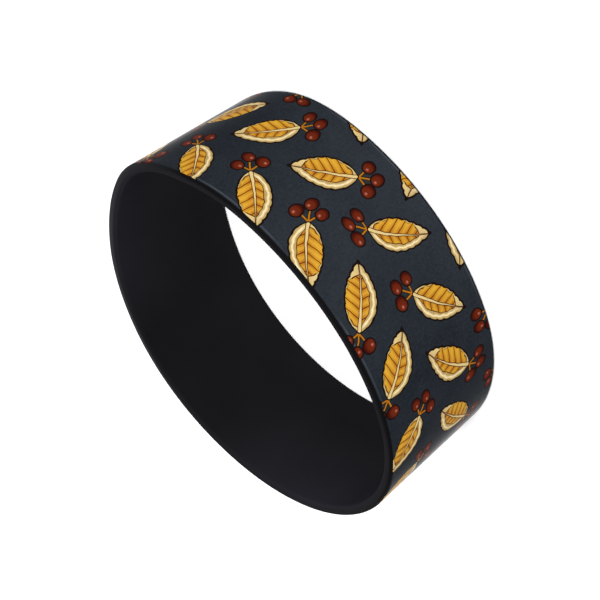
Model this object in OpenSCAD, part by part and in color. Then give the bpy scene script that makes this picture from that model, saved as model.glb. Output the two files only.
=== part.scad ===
// Wide rubber bracelet: a seamless band of black rubber with a printed film round its outside.
// It lies on one rim. +Z is the band's axis, and the origin is the middle of that rim's outline.
// Seen from above, the loop has relaxed into a soft egg: a tighter nose at +X, a flatter flank
// on each side and a round heel at -X. These arcs meet tangent to one another.

/* [Band] */
// Length of the loop, measured along the middle of the wall
loop_length = 198; // [160:1:230]
// Width of the band, from rim to rim
band_width = 25.4; // [12:0.1:40]
// Thickness of the wall, with the film on it
wall = 1.8; // [1.5:0.1:2.5]
// Rounding of the edges of both rims, as a share of the wall's thickness
rim_share = 0.4; // [0.1:0.05:0.45]

/* [Resting shape] */
// Radius of the nose, as a share of a true circle's
nose_share = 0.79; // [0.7:0.01:1]
// Radius of the flanks, as a share of a true circle's
flank_share = 1.22; // [1:0.01:1.4]

/* [Printed film] */
// Thickness of the film
film = 0.25; // [0.15:0.05:0.4]
// Bare rubber between each rim and the film
film_margin = 0.4; // [0.3:0.05:3]
// Gap between the film and the band, all round
film_gap = 0.05; // [0.02:0.01:0.1]

/* [Hidden] */
smooth = 240;

rim_round = rim_share * wall;

// Nose and flank meet on a line with a slope of 3 in 4, which has a sine and a cosine of one
// decimal, and their radii are whole steps. So each arc's centre falls on a round number, and
// the end of one arc is exactly the start of the next.
join_cos = 0.8;
join_sin = 0.6;
join_angle = asin(join_sin);
radius_step = 0.05;
function stepped(length) = round(length / radius_step) * radius_step;

// The heel closes the loop, so its radius follows from the other two.
function heel_of(nose, flank) = flank - (flank - nose) * join_sin;

// The turning of half the loop, each angle times its share of the radius
half_sum = join_angle * nose_share
  + (90 - join_angle) * flank_share
  + 90 * heel_of(nose_share, flank_share);
circle_radius = loop_length / 2 * (180 / PI) / half_sum;
nose_radius = stepped(nose_share * circle_radius);
flank_radius = stepped(flank_share * circle_radius);
heel_radius = heel_of(nose_radius, flank_radius);

// Centres of the arcs, measured from the heel's
nose_centre = [(flank_radius - nose_radius) * join_cos, 0];
flank_centre = [0, heel_radius - flank_radius];
// Moves the middle of the whole outline to the origin
middle = [(heel_radius - nose_radius - nose_centre.x) / 2, 0];

// Directions in which arcs start and end, as seen from their centres
to_nose_end = [join_cos, join_sin];
to_side = [0, 1];
to_back = [-1, 0];

// Columns: direction of the start, direction of the end, radius, centre
half_arcs = [
  [[1, 0], to_nose_end, nose_radius, nose_centre],
  [to_nose_end, to_side, flank_radius, flank_centre],
  [to_side, to_back, heel_radius, [0, 0]]
];

// Keeps what lies between two directions
module sector(from, to, reach) {
  linear_extrude(band_width)
    polygon([[0, 0], reach * from, reach * (from + to), reach * to]);
}

// Sweeps a wall section round the loop. The section's x is measured from the middle of the wall.
module round_the_loop() {
  translate(middle)
    for (side = [0, 1])
      mirror([0, side, 0])
        for (arc = half_arcs)
          translate(arc[3])
            intersection() {
              rotate_extrude($fn = smooth)
                translate([arc[2], 0])
                  children();
              sector(arc[0], arc[1], 2 * arc[2]);
            }
}

// The wall cut across, with all four edges rounded
module wall_section() {
  across = wall / 2 - rim_round;
  translate([-wall / 2, rim_round])
    square([wall, band_width - 2 * rim_round]);
  translate([-across, 0])
    square([2 * across, band_width]);
  for (x = [-across, across], z = [rim_round, band_width - rim_round])
    translate([x, z])
      circle(rim_round, $fn = smooth);
}

// A strip along the outer side, that deep and that far from both rims, drawn past the outside
module outer_strip(depth, margin) {
  translate([wall / 2 - depth, margin])
    square([2 * depth, band_width - 2 * margin]);
}

// The film cut across. It lies flush, and its edges follow the rounding of the rims.
module film_section() {
  intersection() {
    wall_section();
    outer_strip(film, film_margin + film_gap);
  }
}

module band() {
  color([0.1, 0.1, 0.11])
    round_the_loop()
      difference() {
        wall_section();
        outer_strip(film + film_gap, film_margin);
      }
}

module printed_film() {
  color([0.16, 0.2, 0.23])
    round_the_loop()
      film_section();
}

band();
printed_film();
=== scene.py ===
"""Looks of a wide rubber bracelet: its black rubber band, the printed film round it, and the studio."""
import math
import bpy
from mathutils import Matrix, Vector


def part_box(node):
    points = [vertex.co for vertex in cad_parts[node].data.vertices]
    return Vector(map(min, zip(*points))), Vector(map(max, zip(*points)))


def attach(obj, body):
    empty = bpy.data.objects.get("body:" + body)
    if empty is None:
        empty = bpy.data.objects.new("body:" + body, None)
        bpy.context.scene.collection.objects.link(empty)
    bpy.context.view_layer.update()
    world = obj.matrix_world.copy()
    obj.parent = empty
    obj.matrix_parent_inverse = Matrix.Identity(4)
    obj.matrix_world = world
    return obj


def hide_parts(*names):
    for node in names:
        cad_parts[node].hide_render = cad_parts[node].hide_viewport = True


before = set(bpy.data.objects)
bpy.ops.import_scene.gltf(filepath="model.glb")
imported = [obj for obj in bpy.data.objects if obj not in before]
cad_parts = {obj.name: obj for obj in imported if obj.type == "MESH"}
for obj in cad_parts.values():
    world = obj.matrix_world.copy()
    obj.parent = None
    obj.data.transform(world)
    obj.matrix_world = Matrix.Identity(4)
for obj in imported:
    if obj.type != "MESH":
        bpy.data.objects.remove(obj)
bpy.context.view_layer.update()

MM = 0.001

# The loop as it rests: four kinds of tangent arc, with radii at the middle of the wall
NOSE_RADIUS = 24.8 * MM
FLANK_RADIUS = 38.35 * MM
JOIN_COS = 0.8
JOIN_SIN = 0.6
HEEL_RADIUS = FLANK_RADIUS - (FLANK_RADIUS - NOSE_RADIUS) * JOIN_SIN
NOSE_X = (FLANK_RADIUS - NOSE_RADIUS) * JOIN_COS
FLANK_Y = HEEL_RADIUS - FLANK_RADIUS
MIDDLE_X = (HEEL_RADIUS - NOSE_RADIUS - NOSE_X) / 2

# The wall
BAND_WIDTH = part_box("band")[1][2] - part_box("band")[0][2]
WALL = 1.8 * MM
RIM_ROUND = 0.4 * WALL
FILM = 0.25 * MM
FILM_MARGIN = 0.4 * MM
FILM_GAP = 0.05 * MM
FILM_ROUND = 0.08 * MM

# The wall leans round the nose: on one side of it the top rim stands out and the bottom rim in.
LEAN_DIRECTION = math.radians(20)
LEAN_REACH = math.radians(40)
LEAN_TOP = 1.1 * MM
LEAN_BOTTOM = -0.8 * MM

SILICONE_IOR = 1.41

# How finely the shells are drawn
STATION = 0.7 * MM
ARC_STEP = math.radians(10)
FILM_STEPS = 3
CREASE = math.radians(40)

# How the shells are cut up for their second map: how many strips, the share of a
# strip that stays empty at each side, and how far a hidden face is squeezed
STRIPS = 3
STRIP_GAP = 0.01
HIDDEN_SHARE = 0.08

# The print lies in a herringbone of bricks that slant by 45 degrees: so many bricks go round,
# each so many squares long and one square high, with one sprig in each.
BRICKS_ROUND = 17
BRICK_SQUARES = 2

# Each brick's draws, which vary its sprig. Columns: step along a slant row of bricks, step to the
# next row, start
DRAW_STEPS = [
    (0.618, 0.447, 0.1),
    (0.381, 0.271, 0.55),
    (0.732, 0.191, 0.3),
]

# How far a sprig turns at most to either side, its least bend and how much a draw adds, its least
# width and how much a draw adds, and how far it is moved across its brick to lie in the middle
SPRIG_TURN = math.radians(6.5)
SPRIG_BEND = 0.006
SPRIG_BEND_SPAN = 0.022
SPRIG_WIDTH = 0.92
SPRIG_WIDTH_SPAN = 0.11
SPRIG_SHIFT = 0.4

# Camera: where it looks, from where, how far its top leans to the right, its lens and sensor in
# mm, and the nearest that it sees, in metres
LOOK_AT = Vector((0.46, -0.58, 11.36)) * MM
CAMERA_DISTANCE = 250.4 * MM
CAMERA_AZIMUTH = math.radians(-57.16)
CAMERA_ELEVATION = math.radians(28.9)
CAMERA_ROLL = math.radians(129.1)
LENS = 91.2
SENSOR = 36
CLIP_START = 0.01


def srgb(red, green, blue):
    """A colour of a screen, from 0 to 255, as the shader's linear colour."""
    def linear(value):
        value /= 255
        return value / 12.92 if value <= 0.04045 else ((value + 0.055) / 1.055) ** 2.4
    return (linear(red), linear(green), linear(blue), 1)


# The loop's line

def arcs():
    """The loop's arcs from +X round: start and end angle, radius, centre."""
    join = math.asin(JOIN_SIN)
    nose = Vector((MIDDLE_X + NOSE_X, 0))
    side = Vector((MIDDLE_X, FLANK_Y))
    heel = Vector((MIDDLE_X, 0))
    other_side = Vector((MIDDLE_X, -FLANK_Y))
    return [
        (0, join, NOSE_RADIUS, nose),
        (join, math.pi / 2, FLANK_RADIUS, side),
        (math.pi / 2, math.pi * 3 / 2, HEEL_RADIUS, heel),
        (math.pi * 3 / 2, math.tau - join, FLANK_RADIUS, other_side),
        (math.tau - join, math.tau, NOSE_RADIUS, nose),
    ]


def stations():
    """Places along the loop: the middle of the wall, the outward direction, the distance round."""
    found = []
    distance = 0
    for start, end, radius, centre in arcs():
        outer = radius + WALL / 2
        count = round(outer * (end - start) / STATION)
        for i in range(count):
            turn = (end - start) * i / count
            outward = Vector((math.cos(start + turn), math.sin(start + turn)))
            found.append((centre + radius * outward, outward, distance + outer * turn))
        distance += outer * (end - start)
    return found, distance


def lean(outward, up):
    """How far the wall stands out there, at that height."""
    away = abs(math.atan2(outward.y, outward.x) - LEAN_DIRECTION)
    if away > LEAN_REACH:
        return 0
    share = (1 + math.cos(math.pi * away / LEAN_REACH)) / 2
    return share * (LEAN_BOTTOM + (LEAN_TOP - LEAN_BOTTOM) * up / BAND_WIDTH)


# Wall sections, as (distance outward from the middle of the wall, height)

def rounded(across, up, first, last):
    """An arc of the rims' rounding, anticlockwise from one angle to the other."""
    steps = math.ceil((last - first) / ARC_STEP)
    angles = [first + (last - first) * i / steps for i in range(steps + 1)]
    return [(across + RIM_ROUND * math.cos(a), up + RIM_ROUND * math.sin(a)) for a in angles]


def upside_down(section):
    """The same points for the other rim, in the opposite order."""
    return [(across, BAND_WIDTH - up) for across, up in reversed(section)]


def band_section():
    """The rubber: rounded rims, and a seat for the film cut in its outer side."""
    inset = WALL / 2 - RIM_ROUND
    seat = WALL / 2 - FILM - FILM_GAP
    lip = -math.asin(1 - FILM_MARGIN / RIM_ROUND)
    low = rounded(-inset, RIM_ROUND, -math.pi, -math.pi / 2)
    low += rounded(inset, RIM_ROUND, -math.pi / 2, lip) + [(seat, FILM_MARGIN)]
    return low + upside_down(low)


def film_section():
    """The film. Its outer side follows the rims' rounding, and ends in a softened corner."""
    inset = WALL / 2 - RIM_ROUND
    low = FILM_MARGIN + FILM_GAP
    start = -math.asin(1 - low / RIM_ROUND)
    side = rounded(inset, RIM_ROUND, start + FILM_ROUND / RIM_ROUND, 0)
    corner = Vector((inset + RIM_ROUND * math.cos(start), low))
    before = corner - Vector((FILM_ROUND, 0))
    after = Vector(side[0])
    ends = [(WALL / 2 - FILM, low)]
    for i in range(FILM_STEPS):
        share = i / FILM_STEPS
        ends.append(tuple(before.lerp(corner, share).lerp(corner.lerp(after, share), share)))
    ends += side
    return ends + upside_down(ends)


def strip_heights(section):
    """How far up a strip of its shell each point of a section lies, from 0 to 1.

    The long face that another piece hides is squeezed, to leave more room for the others.
    """
    reached = [0]
    for start, end in zip(section, section[1:] + section[:1]):
        length = math.dist(start, end)
        deep = abs(start[0]) < WALL / 2 - FILM / 2
        hidden = deep and length > BAND_WIDTH / 2
        reached.append(reached[-1] + length * (HIDDEN_SHARE if hidden else 1))
    return [height / reached[-1] for height in reached]


def rectangle(left, right, low, high):
    """The corners of a rectangle, from the lower left one round."""
    return [(left, low), (right, low), (right, high), (left, high)]


def add_map(mesh, name, spots):
    """Adds a map that gives each corner of each face its spot."""
    layer = mesh.uv_layers.new(name=name)
    for loop, spot in zip(layer.data, spots):
        loop.uv = spot


def add_object(name, data):
    """A new object, put in the scene."""
    made = bpy.data.objects.new(name, data)
    bpy.context.collection.objects.link(made)
    return made


def swept(name, section, coat):
    """A closed shell: the section swept round the loop.

    It has two maps. "Print" holds millimetres round and up, for the pattern. "OFBake" cuts the
    shell into strips and lays one above the other in a square.
    """
    line, whole = stations()
    heights = strip_heights(section)
    strip_length = math.ceil(len(line) / STRIPS)
    vertices = []
    for place, outward, _ in line:
        vertices += [(*(place + (across + lean(outward, up)) * outward), up) for across, up in section]
    faces = []
    print_spots = []
    strip_spots = []
    count = len(section)
    for i, (_, _, distance) in enumerate(line):
        after = (i + 1) % len(line)
        next_distance = line[after][2] if after else whole
        strip = i // strip_length
        left = i % strip_length / strip_length
        right = left + 1 / strip_length
        for j in range(count):
            k = (j + 1) % count
            faces.append((i * count + j, after * count + j, after * count + k, i * count + k))
            low, high = section[j][1] / MM, section[k][1] / MM
            print_spots += rectangle(distance / MM, next_distance / MM, low, high)
            strip_low, strip_high = (
                (strip + STRIP_GAP + height * (1 - 2 * STRIP_GAP)) / STRIPS
                for height in heights[j:j + 2]
            )
            strip_spots += rectangle(left, right, strip_low, strip_high)
    mesh = bpy.data.meshes.new(name)
    mesh.from_pydata(vertices, [], faces)
    add_map(mesh, "Print", print_spots)
    add_map(mesh, "OFBake", strip_spots)
    mesh.materials.append(coat)
    mesh.shade_smooth()
    mesh.set_sharp_from_angle(angle=CREASE)
    return add_object(name, mesh)


# Formulas in shader nodes

class Field:
    """A number that varies over a surface. Its formulas become Math nodes."""

    def __init__(self, tree, socket):
        self.tree = tree
        self.socket = socket

    def maths(self, operation, *others, clamp=False):
        """This number and the others, put through one Math node."""
        node = self.tree.nodes.new("ShaderNodeMath")
        node.operation = operation
        node.use_clamp = clamp
        for slot, value in zip(node.inputs, (self, *others)):
            put(self.tree, slot, value)
        return Field(self.tree, node.outputs[0])

    def __add__(self, other):
        return self.maths("ADD", other)

    def __sub__(self, other):
        return self.maths("SUBTRACT", other)

    def __mul__(self, other):
        return self.maths("MULTIPLY", other)

    def __truediv__(self, other):
        return self.maths("DIVIDE", other)

    def __neg__(self):
        return self.maths("MULTIPLY", -1)

    def __abs__(self):
        return self.maths("ABSOLUTE")

    def floor(self):
        return self.maths("FLOOR")

    def fraction(self):
        return self.maths("FRACT")

    def sin(self):
        return self.maths("SINE")

    def cos(self):
        return self.maths("COSINE")

    def smaller(self, other):
        return self.maths("MINIMUM", other)

    def modulo(self, other):
        return self.maths("FLOORED_MODULO", other)

    def above(self, limit):
        """1 above the limit, 0 below."""
        return self.maths("GREATER_THAN", limit)

    def clamped(self):
        """Held between 0 and 1."""
        return self.maths("ADD", 0, clamp=True)


def put(tree, slot, value):
    """Sets a socket to a number or a colour, or links it to a field or another socket."""
    if isinstance(value, Field):
        value = value.socket
    if isinstance(value, bpy.types.NodeSocket):
        tree.links.new(value, slot)
    else:
        slot.default_value = value


def parts(tree, vector):
    """The three numbers of a vector."""
    node = tree.nodes.new("ShaderNodeSeparateXYZ")
    tree.links.new(vector, node.inputs["Vector"])
    return [Field(tree, output) for output in node.outputs]


def ramp(value, start, end):
    """Grows evenly from 0 at the start to 1 at the end."""
    return ((value - start) / (end - start)).clamped()


def reach(tree, place, direction):
    """How far a place lies from the band's axis in a level direction, in mm."""
    east, north, _ = parts(tree, place)
    return (east * math.cos(direction) + north * math.sin(direction)) / MM


def distance_to(x, y):
    """The distance of a place from the middle."""
    return (x * x + y * y).maths("SQRT")


def inside(depth, softness=0.06):
    """1 where the depth is below zero, 0 where it is above, with a soft edge of that many mm."""
    return (depth / -softness + 0.5).clamped()


def stroke(x, y, start, end):
    """The distance to the straight line between two points."""
    step_x, step_y = end[0] - start[0], end[1] - start[1]
    x, y = x - start[0], y - start[1]
    share = ((x * step_x + y * step_y) / (step_x ** 2 + step_y ** 2)).clamped()
    return distance_to(x - share * step_x, y - share * step_y)


# The value that a noise has on average
NOISE_MIDDLE = 0.5


def noise(tree, vector, cells, detail, roughness=0.5):
    """A noise node with so many cells in a metre."""
    node = tree.nodes.new("ShaderNodeTexNoise")
    node.inputs["Scale"].default_value = cells
    node.inputs["Detail"].default_value = detail
    node.inputs["Roughness"].default_value = roughness
    tree.links.new(vector, node.inputs["Vector"])
    return node


def noise_level(tree, vector, cells, detail, roughness=0.5):
    """A noise as a number, mostly between 0 and 1."""
    return Field(tree, noise(tree, vector, cells, detail, roughness).outputs["Fac"])


def blend(tree, amount, below, above):
    """The colour above, laid over the colour below by that amount."""
    node = tree.nodes.new("ShaderNodeMix")
    node.data_type = "RGBA"
    put(tree, node.inputs[0], amount)
    put(tree, node.inputs[6], below)
    put(tree, node.inputs[7], above)
    return node.outputs[2]


def material(name):
    """A new material, its node tree and its Principled shader, which bends light like silicone."""
    made = bpy.data.materials.new(name)
    made.use_nodes = True
    shader = made.node_tree.nodes["Principled BSDF"]
    shader.inputs["IOR"].default_value = SILICONE_IOR
    return made, made.node_tree, shader


def bump(tree, shader, height, strength, depth):
    """Makes a shader's surface look uneven."""
    node = tree.nodes.new("ShaderNodeBump")
    node.inputs["Strength"].default_value = strength
    node.inputs["Distance"].default_value = depth
    put(tree, node.inputs["Height"], height)
    tree.links.new(node.outputs["Normal"], shader.inputs["Normal"])


# Black rubber

RUBBER_DARK = srgb(17, 17, 19)
RUBBER_PALE = srgb(22, 22, 24)
# Painted light on the wall by the upper rim
PAINTED_LIGHT_TONE = srgb(37, 36, 42)
# Painted shade on the rims' outer edge, and painted sheen on one side of them
RIM_PAINTED_SHADE = srgb(11, 11, 12)
RIM_PAINTED_SHEEN = srgb(40, 40, 44)

# Cells in a metre, the least roughness and how much the clouds add, then the shine and the grain
RUBBER_CLOUDS = 90
RUBBER_GRAIN = 5200
RUBBER_ROUGHNESS = 0.45
RUBBER_ROUGHNESS_SPAN = 0.12
RUBBER_SPECULAR = 0.012
RUBBER_BUMP = 0.25
RUBBER_BUMP_DEPTH = 0.05 * MM

# Painted light: a pale tone that stands in for light on the wall by the upper rim, at both ends
# of the loop: the line through these ends, the distances in mm along that line and up the wall
# between which it grows, the height from which the rim is kept clear of it, and how clear. Then
# its least strength and how much the clouds add.
PAINTED_LIGHT_DIRECTION = math.radians(28)
PAINTED_LIGHT_START = 10
PAINTED_LIGHT_END = 30
PAINTED_LIGHT_LOW = 7
PAINTED_LIGHT_HIGH = 25
PAINTED_LIGHT_CLEAR_FROM = 24.9
PAINTED_LIGHT_CLEAR = 0.8
PAINTED_LIGHT_LEAST = 0.7
PAINTED_LIGHT_CLOUDY = 0.6

# The rims have a painted shade on their outer edge. Towards one side of the loop it turns into a
# painted sheen and spreads over most of their width: the direction of that side, and the distances
# out that way, in mm, between which it does. The tilt of the surface says where these tones lie,
# in parts of its normal: how far inward the painted sheen spreads, the outward part at which a
# tone is full, and the upward or downward parts at which it starts and is full.
RIM_SHEEN_DIRECTION = math.radians(75)
RIM_SHEEN_START = 4
RIM_SHEEN_END = 27
RIM_SHEEN_SPREAD = 0.6
RIM_OUTWARD_FULL = 0.5
RIM_UPWARD_START = 0.2
RIM_UPWARD_FULL = 0.5


def painted_light_share(tree, place):
    """How strong the painted light by the upper rim is there, from 0 to 1."""
    _, _, up = parts(tree, place)
    ends = ramp(abs(reach(tree, place, PAINTED_LIGHT_DIRECTION)), PAINTED_LIGHT_START, PAINTED_LIGHT_END)
    kept_clear = ramp(up / MM, PAINTED_LIGHT_CLEAR_FROM, BAND_WIDTH / MM) * PAINTED_LIGHT_CLEAR
    return ends * (ramp(up / MM, PAINTED_LIGHT_LOW, PAINTED_LIGHT_HIGH) - kept_clear)


def rim_painted_light(tree, place, normal, below):
    """The colour below, with the rims' painted shade on the outer edge and painted sheen on one side
    laid over it.
    """
    east, north, _ = parts(tree, place)
    faces_east, faces_north, faces_up = parts(tree, normal)
    outward = (faces_east * east + faces_north * north) / distance_to(east, north)
    sheen = ramp(reach(tree, place, RIM_SHEEN_DIRECTION), RIM_SHEEN_START, RIM_SHEEN_END)
    on_outer_side = ramp(outward + sheen * RIM_SHEEN_SPREAD, 0, RIM_OUTWARD_FULL)
    on_rim = ramp(abs(faces_up), RIM_UPWARD_START, RIM_UPWARD_FULL)
    return blend(tree, on_outer_side * on_rim, below, blend(tree, sheen, RIM_PAINTED_SHADE, RIM_PAINTED_SHEEN))


def black_rubber():
    """Matt black rubber with faint clouds, painted light by the upper rim, the rims' painted shade and
    sheen, and a fine grain.
    """
    made, tree, shader = material("black_rubber")
    coordinates = tree.nodes.new("ShaderNodeTexCoord")
    place = coordinates.outputs["Object"]
    clouds = noise_level(tree, place, RUBBER_CLOUDS, detail=3)
    grain = noise_level(tree, place, RUBBER_GRAIN, detail=2)
    colour = blend(tree, clouds, RUBBER_DARK, RUBBER_PALE)
    # Painted light by the upper rim, at both ends of the loop
    painted_light = painted_light_share(tree, place) * (clouds * PAINTED_LIGHT_CLOUDY + PAINTED_LIGHT_LEAST)
    colour = blend(tree, painted_light, colour, PAINTED_LIGHT_TONE)
    # Painted shade and painted sheen on the rims
    colour = rim_painted_light(tree, place, coordinates.outputs["Normal"], colour)
    put(tree, shader.inputs["Base Color"], colour)
    put(tree, shader.inputs["Roughness"], clouds * RUBBER_ROUGHNESS_SPAN + RUBBER_ROUGHNESS)
    shader.inputs["Specular IOR Level"].default_value = RUBBER_SPECULAR
    bump(tree, shader, grain, RUBBER_BUMP, RUBBER_BUMP_DEPTH)
    return made


# The print: sprigs with a leaf and three berries, on a slate ground. All sizes are in mm.

SLATE = srgb(23, 27, 32)
SLATE_LIGHT = srgb(42, 46, 52)
# Painted highlight along the film's edges
SLATE_PAINTED_GLINT = srgb(57, 61, 67)
INK = srgb(18, 11, 9)
CREAM = srgb(182, 160, 109)
CREAM_LIGHT = srgb(208, 193, 152)
CREAM_SHADE = srgb(150, 126, 78)
OCHRE = srgb(174, 130, 36)
OCHRE_LIGHT = srgb(190, 148, 52)
OCHRE_SHADE = srgb(144, 90, 20)
WINE = srgb(83, 28, 12)
WINE_DARK = srgb(52, 12, 8)
WINE_LIGHT = srgb(152, 88, 76)

# The leaf: its lens shape, its teeth, and the veins that run out to them
LEAF_FROM_MIDDLE = 1.05
LEAF_HALF_LENGTH = 5.4
LEAF_HALF_WIDTH = 2.98
LEAF_POINT = 0.025
TOOTH = 1.5
TOOTH_START = 0.3
TOOTH_SLANT = 0.6
TOOTH_DEPTH = 0.6
VEIN = 0.09
RIB = 0.14
RIB_TAPER = 0.03

# The leaf's cream border: its width, and how it grows to one side, to both and to the tips
BORDER = 0.74
BORDER_TILT = 0.35
BORDER_SPREAD = 0.12
BORDER_ENDS = 0.02

# Waves of the border's edge. Columns: radians for each mm along and across the leaf, height
BORDER_WAVES = [
    (2.1, 0.8, 0.13),
    (4.6, -1.7, 0.06),
]

# Shading of the ochre: how far from the rib it lightens, how softly and how much. Then the same
# between two veins, in shares of a tooth.
OCHRE_FROM_RIB = 1
OCHRE_SOFTNESS = 1.6
OCHRE_SHARE = 0.75
BETWEEN_VEINS = 0.3
BETWEEN_SOFTNESS = 0.25
BETWEEN_SHARE = 0.45

# Shading of the cream: how softly it darkens to one side, and how much of its shade a vein has.
# Then its light line: how far in from the outline, half its width, its softness, the place across
# the leaf from which it shows, and how softly it starts there.
CREAM_SOFTNESS = 2.4
CREAM_VEIN = 0.15
CREAM_LINE = 0.8
CREAM_LINE_HALF_WIDTH = 0.14
CREAM_LINE_SOFTNESS = 0.3
CREAM_LINE_SIDE = 0.5
CREAM_LINE_START = 1

# Lines of the drawing: the widths of the leaf's and the berries' outlines, half the width of the
# line inside the border, how far it keeps from the outline and how softly it ends there, and the
# width of the line on each side of the rib
OUTLINE = 0.3
BERRY_OUTLINE = 0.24
LINE = 0.1
LINE_CLEAR = 0.15
LINE_END = 0.2
RIB_LINE = 0.13

# How the sprigs' lines wander: cells in a metre, and how far in all
WANDER_CELLS = 700
WANDER = 0.3

# The slate ground: its clouds' and mottle's cells in a metre, the mottle's roughness, how much
# each lightens it, and how light it is on average
GROUND_CLOUDS = 160
GROUND_MOTTLE = 2400
MOTTLE_ROUGHNESS = 0.8
CLOUDS_SHARE = 0.5
MOTTLE_SHARE = 1.12
GROUND_LIGHTNESS = 0.14

# The print's surface: its least roughness and how much the clouds add, its shine and its grain
PRINT_ROUGHNESS = 0.12
PRINT_ROUGHNESS_SPAN = 0.08
PRINT_SPECULAR = 0.0035
PRINT_GRAIN = 3600
PRINT_BUMP = 0.2
PRINT_BUMP_DEPTH = 0.04 * MM

# A painted highlight on the film's rounded edge, lighter than the ground: its distance from the
# rim, half its width and its softness. It comes in patches: their cells in a metre, the noise at
# which they start and how fast they grow. Then the direction of the side where it is strongest,
# and the distances out that way, in mm, between which it grows.
GLINT_FROM_RIM = 0.72
GLINT_HALF_WIDTH = 0.1
GLINT_SOFTNESS = 0.2
GLINT_CELLS = 60
GLINT_FROM = 0.42
GLINT_GROWTH = 6
GLINT_DIRECTION = math.radians(-10)
GLINT_START = -2
GLINT_END = 14

# A painted sheen that lightens the ground: the direction of the side where it is strongest, the
# distances out that way, in mm, between which it grows, and how strong it gets there. Then the
# height from which painted light grows towards the lower rim, and how strong it gets there.
SHEEN_DIRECTION = math.radians(-54)
SHEEN_START = 21
SHEEN_END = 32.5
SHEEN_SIDE = 0.425
SHEEN_HEIGHT = 10
SHEEN_LOW = 0.25

# Half a stem's width, which is its outline's width too, and where all stems start
STEM = 0.13
STEMS_START = (-3.6, 0)

# Columns: place along and across the sprig, radius
BERRIES = [
    (-5.15, 2.2, 1.28),
    (-6.55, 0.25, 1.2),
    (-5.1, -1.8, 1.18),
]

# A berry's lit part and its light spot: place along and across it and radius, in shares of its own
# radius, and softness. Then how much of its colour the spot has.
LIT_PART = (0.2, 0.2, 0.75, 0.5)
LIGHT_SPOT = (0.25, 0.3, 0.16, 0.25)
SPOT_SHARE = 0.85


def brick(round_, up, whole):
    """The herringbone brick under a point: the place along and across it, and its draws.

    In a grid of squares on the slant, every four squares in a row are the two halves of a brick
    that lies along the row, then the ends of two bricks that stand across it.
    """
    side = whole / MM / BRICKS_ROUND / math.sqrt(2)
    along = (round_ + up) / (side * math.sqrt(2))
    across = (up - round_) / (side * math.sqrt(2))
    column, row = along.floor(), across.floor()
    quarter = (column + row).modulo(2 * BRICK_SQUARES)
    stands = quarter.above(BRICK_SQUARES - 0.5)
    lies = -stands + 1
    second = quarter - stands * BRICK_SQUARES
    column_place, row_place = along.fraction(), across.fraction()
    x = (column_place * lies + row_place * stands + second - 1) * side
    y = (row_place * lies + column_place * stands - 0.5) * side
    column = column - second * lies
    row = row - second * stands
    slant = (column - row).modulo(2 * BRICKS_ROUND)
    level = column + row
    draws = [(slant * a + level * b + c).fraction() for a, b, c in DRAW_STEPS]
    return x, y, draws


def sprig_place(x, y, draws):
    """The place in the sprig: each is turned, mirrored, bent and widened in its own way."""
    backwards = draws[0].above(0.5) * 2 - 1
    mirrored = draws[1].above(0.5) * 2 - 1
    turn = (draws[2] * 2 - 1) * SPRIG_TURN
    cos, sin = turn.cos(), turn.sin()
    x, y = (x * cos + y * sin) * backwards, (y * cos - x * sin) * backwards * mirrored
    bend = draws[2] * SPRIG_BEND_SPAN + SPRIG_BEND
    width = draws[1] * SPRIG_WIDTH_SPAN + SPRIG_WIDTH
    return x, (y + x * x * bend - SPRIG_SHIFT) / width


def leaf(tree, ground, x, y):
    """A toothed leaf: a wavy cream border, an ochre middle, veins out to the teeth and a rib."""
    arc_radius = (LEAF_HALF_LENGTH ** 2 + LEAF_HALF_WIDTH ** 2) / (2 * LEAF_HALF_WIDTH)
    x = x - LEAF_FROM_MIDDLE
    tooth_place = ((x - abs(y) * TOOTH_SLANT) / TOOTH + TOOTH_START).fraction()
    from_vein = abs(tooth_place - 0.5)
    pointed = x - x * x * LEAF_POINT
    depth = distance_to(pointed, abs(y) + (arc_radius - LEAF_HALF_WIDTH)) - arc_radius
    depth = depth + from_vein * from_vein * TOOTH_DEPTH
    border = depth
    for along, across, height in BORDER_WAVES:
        border = border + (x * along + y * across).sin() * height
    border = border + y * BORDER_TILT + abs(y) * BORDER_SPREAD + x * x * BORDER_ENDS + BORDER
    rib = abs(y) + x * RIB_TAPER - RIB
    vein = inside(from_vein * TOOTH - VEIN)

    off_rib = inside(-abs(y) + OCHRE_FROM_RIB, OCHRE_SOFTNESS) * OCHRE_SHARE
    off_veins = inside(-from_vein + BETWEEN_VEINS, BETWEEN_SOFTNESS) * BETWEEN_SHARE
    gold = blend(tree, off_rib, OCHRE_SHADE, OCHRE)
    gold = blend(tree, off_veins, gold, OCHRE_LIGHT)
    gold = blend(tree, vein, gold, WINE)

    light = inside(abs(depth + CREAM_LINE) - CREAM_LINE_HALF_WIDTH, CREAM_LINE_SOFTNESS)
    lit_side = inside(-y + CREAM_LINE_SIDE, CREAM_LINE_START)
    cream = blend(tree, inside(y, CREAM_SOFTNESS), CREAM_SHADE, CREAM)
    cream = blend(tree, light * lit_side, cream, CREAM_LIGHT)
    cream = blend(tree, vein * CREAM_VEIN, cream, CREAM_SHADE)

    colour = blend(tree, inside(border), cream, gold)
    line = inside(abs(border) - LINE) * inside(depth + OUTLINE + LINE_CLEAR, LINE_END)
    colour = blend(tree, line, colour, WINE_DARK)
    colour = blend(tree, inside(rib - RIB_LINE), colour, WINE_DARK)
    colour = blend(tree, inside(rib), colour, CREAM)
    colour = blend(tree, inside(depth + OUTLINE), INK, colour)
    return blend(tree, inside(depth), ground, colour)


def stems(tree, ground, x, y):
    """A thin stem from the leaf to each berry."""
    nearest = stroke(x, y, STEMS_START, BERRIES[0][:2])
    for berry_place in BERRIES[1:]:
        nearest = nearest.smaller(stroke(x, y, STEMS_START, berry_place[:2]))
    colour = blend(tree, inside(nearest - STEM), INK, OCHRE_SHADE)
    return blend(tree, inside(nearest - 2 * STEM), ground, colour)


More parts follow.
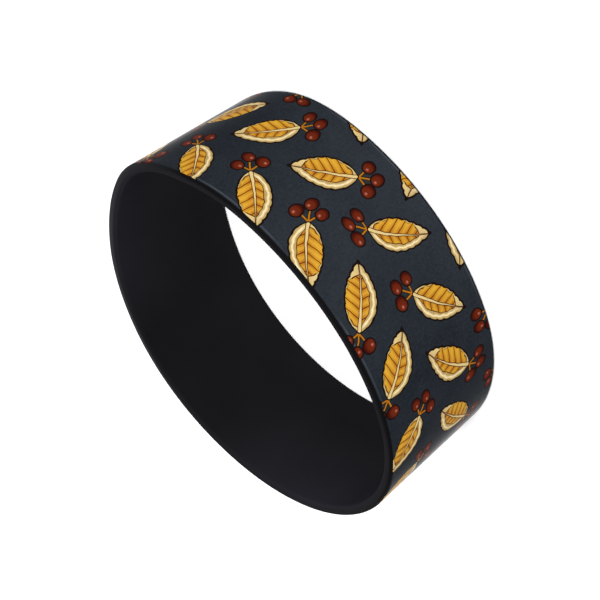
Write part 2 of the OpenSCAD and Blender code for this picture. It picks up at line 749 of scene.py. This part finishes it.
def berry(tree, ground, x, y, radius):
    """A round berry: a dark outline, a shaded side and a small light spot."""
    def patch(along, across, size, softness):
        """A round patch of the berry."""
        return inside(distance_to(x - along * radius, y - across * radius) - size * radius, softness)

    depth = distance_to(x, y) - radius
    colour = blend(tree, patch(*LIT_PART), WINE_DARK, WINE)
    colour = blend(tree, patch(*LIGHT_SPOT) * SPOT_SHARE, colour, WINE_LIGHT)
    colour = blend(tree, inside(depth + BERRY_OUTLINE), INK, colour)
    return blend(tree, inside(depth), ground, colour)


def painted_edge_glint(tree, place, up):
    """How strong the painted highlight is there: a thin, patchy line near each edge of the film."""
    from_rim = up.smaller(-up + BAND_WIDTH / MM)
    line = inside(abs(from_rim - GLINT_FROM_RIM) - GLINT_HALF_WIDTH, GLINT_SOFTNESS)
    patches = (noise_level(tree, place, GLINT_CELLS, detail=2) - GLINT_FROM) * GLINT_GROWTH
    return line * patches.clamped() * ramp(reach(tree, place, GLINT_DIRECTION), GLINT_START, GLINT_END)


def painted_sheen_share(tree, place, up):
    """How strong the painted sheen on the ground is there: more on one side of the band, and painted
    light by the lower rim.
    """
    share = ramp(reach(tree, place, SHEEN_DIRECTION), SHEEN_START, SHEEN_END)
    return share * share * SHEEN_SIDE + ramp(up, SHEEN_HEIGHT, 0) * SHEEN_LOW


def printed_rubber(whole):
    """The print: a mottled slate ground with a painted sheen and painted edge highlights, the sprigs on
    it, and a fine grain.
    """
    made, tree, shader = material("printed_rubber")
    place = tree.nodes.new("ShaderNodeTexCoord").outputs["Object"]
    uv = tree.nodes.new("ShaderNodeUVMap")
    uv.uv_map = "Print"
    round_, up, _ = parts(tree, uv.outputs["UV"])
    wander = noise(tree, place, WANDER_CELLS, detail=1).outputs["Color"]
    wander_x, wander_y, _ = parts(tree, wander)

    x, y, draws = brick(round_, up, whole)
    x, y = sprig_place(x, y, draws)
    x = x + (wander_x - NOISE_MIDDLE) * WANDER
    y = y + (wander_y - NOISE_MIDDLE) * WANDER

    clouds = noise_level(tree, place, GROUND_CLOUDS, detail=3)
    mottle = noise_level(tree, place, GROUND_MOTTLE, detail=2, roughness=MOTTLE_ROUGHNESS)
    light = (clouds - NOISE_MIDDLE) * CLOUDS_SHARE + (mottle - NOISE_MIDDLE) * MOTTLE_SHARE
    # Painted sheen on one side and painted light by the lower rim lighten the ground
    light = light + painted_sheen_share(tree, place, up) + GROUND_LIGHTNESS
    colour = blend(tree, light.clamped(), SLATE, SLATE_LIGHT)
    # Painted highlight along the film's edges
    colour = blend(tree, painted_edge_glint(tree, place, up), colour, SLATE_PAINTED_GLINT)
    colour = stems(tree, colour, x, y)
    colour = leaf(tree, colour, x, y)
    for at_x, at_y, radius in BERRIES:
        colour = berry(tree, colour, x - at_x, y - at_y, radius)
    put(tree, shader.inputs["Base Color"], colour)
    put(tree, shader.inputs["Roughness"], clouds * PRINT_ROUGHNESS_SPAN + PRINT_ROUGHNESS)
    shader.inputs["Specular IOR Level"].default_value = PRINT_SPECULAR
    grain = noise_level(tree, place, PRINT_GRAIN, detail=2)
    bump(tree, shader, grain, PRINT_BUMP, PRINT_BUMP_DEPTH)
    return made


# Studio

WHITE = (1, 1, 1, 1)

# The floor: its two tones, its clouds' cells in a metre, its surface, and half its side in metres
FLOOR_TONE = srgb(243, 243, 244)
FLOOR_PALE = srgb(247, 247, 247)
FLOOR_CLOUDS = 3
FLOOR_ROUGHNESS = 0.9
FLOOR_SPECULAR = 0.1
FLOOR_HALF = 20

# Columns: name, azimuth, elevation and spread in degrees, strength
LIGHTS = [
    ("key", -54, 50, 30, 3.9),
    ("back", 98, 53, 16, 0.9),
]

# The surround is white up to one height, then fades to the top's brightness at another. A height
# is the upward part of a direction: 0 at the horizon, 1 overhead.
SKY_WHITE_TO = 0.1
SKY_FADED_FROM = 0.35
SKY_TOP = 0.4


def floor():
    """A wide, pale floor."""
    made, tree, shader = material("pale_floor")
    place = tree.nodes.new("ShaderNodeTexCoord").outputs["Object"]
    clouds = noise_level(tree, place, FLOOR_CLOUDS, detail=2)
    put(tree, shader.inputs["Base Color"], blend(tree, clouds, FLOOR_TONE, FLOOR_PALE))
    shader.inputs["Roughness"].default_value = FLOOR_ROUGHNESS
    shader.inputs["Specular IOR Level"].default_value = FLOOR_SPECULAR
    mesh = bpy.data.meshes.new("floor")
    corners = [(x, y, 0) for x, y in rectangle(-FLOOR_HALF, FLOOR_HALF, -FLOOR_HALF, FLOOR_HALF)]
    mesh.from_pydata(corners, [], [(0, 1, 2, 3)])
    mesh.materials.append(made)
    add_object("floor", mesh)


def far_light(name, azimuth, elevation, spread, strength):
    """A soft light from far away, in degrees, so that it falls on the whole floor alike."""
    data = bpy.data.lights.new(name, "SUN")
    data.angle = math.radians(spread)
    data.energy = strength
    lamp = add_object(name, data)
    lamp.rotation_euler = (0, math.radians(90 - elevation), math.radians(azimuth))


def studio():
    """The white surround, the floor and the lights."""
    world = bpy.data.worlds.new("studio")
    world.use_nodes = True
    tree = world.node_tree
    background = tree.nodes["Background"]
    background.inputs["Color"].default_value = WHITE
    _, _, height = parts(tree, tree.nodes.new("ShaderNodeTexCoord").outputs["Generated"])
    low = ramp(height, SKY_FADED_FROM, SKY_WHITE_TO)
    put(tree, background.inputs["Strength"], low * (1 - SKY_TOP) + SKY_TOP)
    bpy.context.scene.world = world
    bpy.context.scene.view_settings.view_transform = "Standard"
    floor()
    for light in LIGHTS:
        far_light(*light)


def camera():
    """The photo's view: from above the band's nose side, with the camera rolled."""
    level = math.cos(CAMERA_ELEVATION)
    back = Vector((
        level * math.cos(CAMERA_AZIMUTH),
        level * math.sin(CAMERA_AZIMUTH),
        math.sin(CAMERA_ELEVATION),
    ))
    level_right = Vector((-math.sin(CAMERA_AZIMUTH), math.cos(CAMERA_AZIMUTH), 0))
    level_up = back.cross(level_right)
    up = level_right * math.sin(CAMERA_ROLL) + level_up * math.cos(CAMERA_ROLL)
    right = up.cross(back)
    data = bpy.data.cameras.new("camera")
    data.lens = LENS
    data.sensor_width = SENSOR
    data.clip_start = CLIP_START
    eye = add_object("camera", data)
    turn = Matrix((right, up, back)).transposed().to_4x4()
    eye.matrix_world = Matrix.Translation(LOOK_AT + back * CAMERA_DISTANCE) @ turn
    bpy.context.scene.camera = eye


# Assembly

def dress():
    """Makes both pieces, puts them under the root body and hides the CAD parts that they replace."""
    _, whole = stations()
    band = swept("rubber_band", band_section(), black_rubber())
    film = swept("printed_layer", film_section(), printed_rubber(whole))
    for piece, node, slot in (
        (band, "band", "black_rubber"),
        (film, "printed_film", "printed_rubber"),
    ):
        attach(piece, "root")
        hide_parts(node)


dress()
studio()
camera()
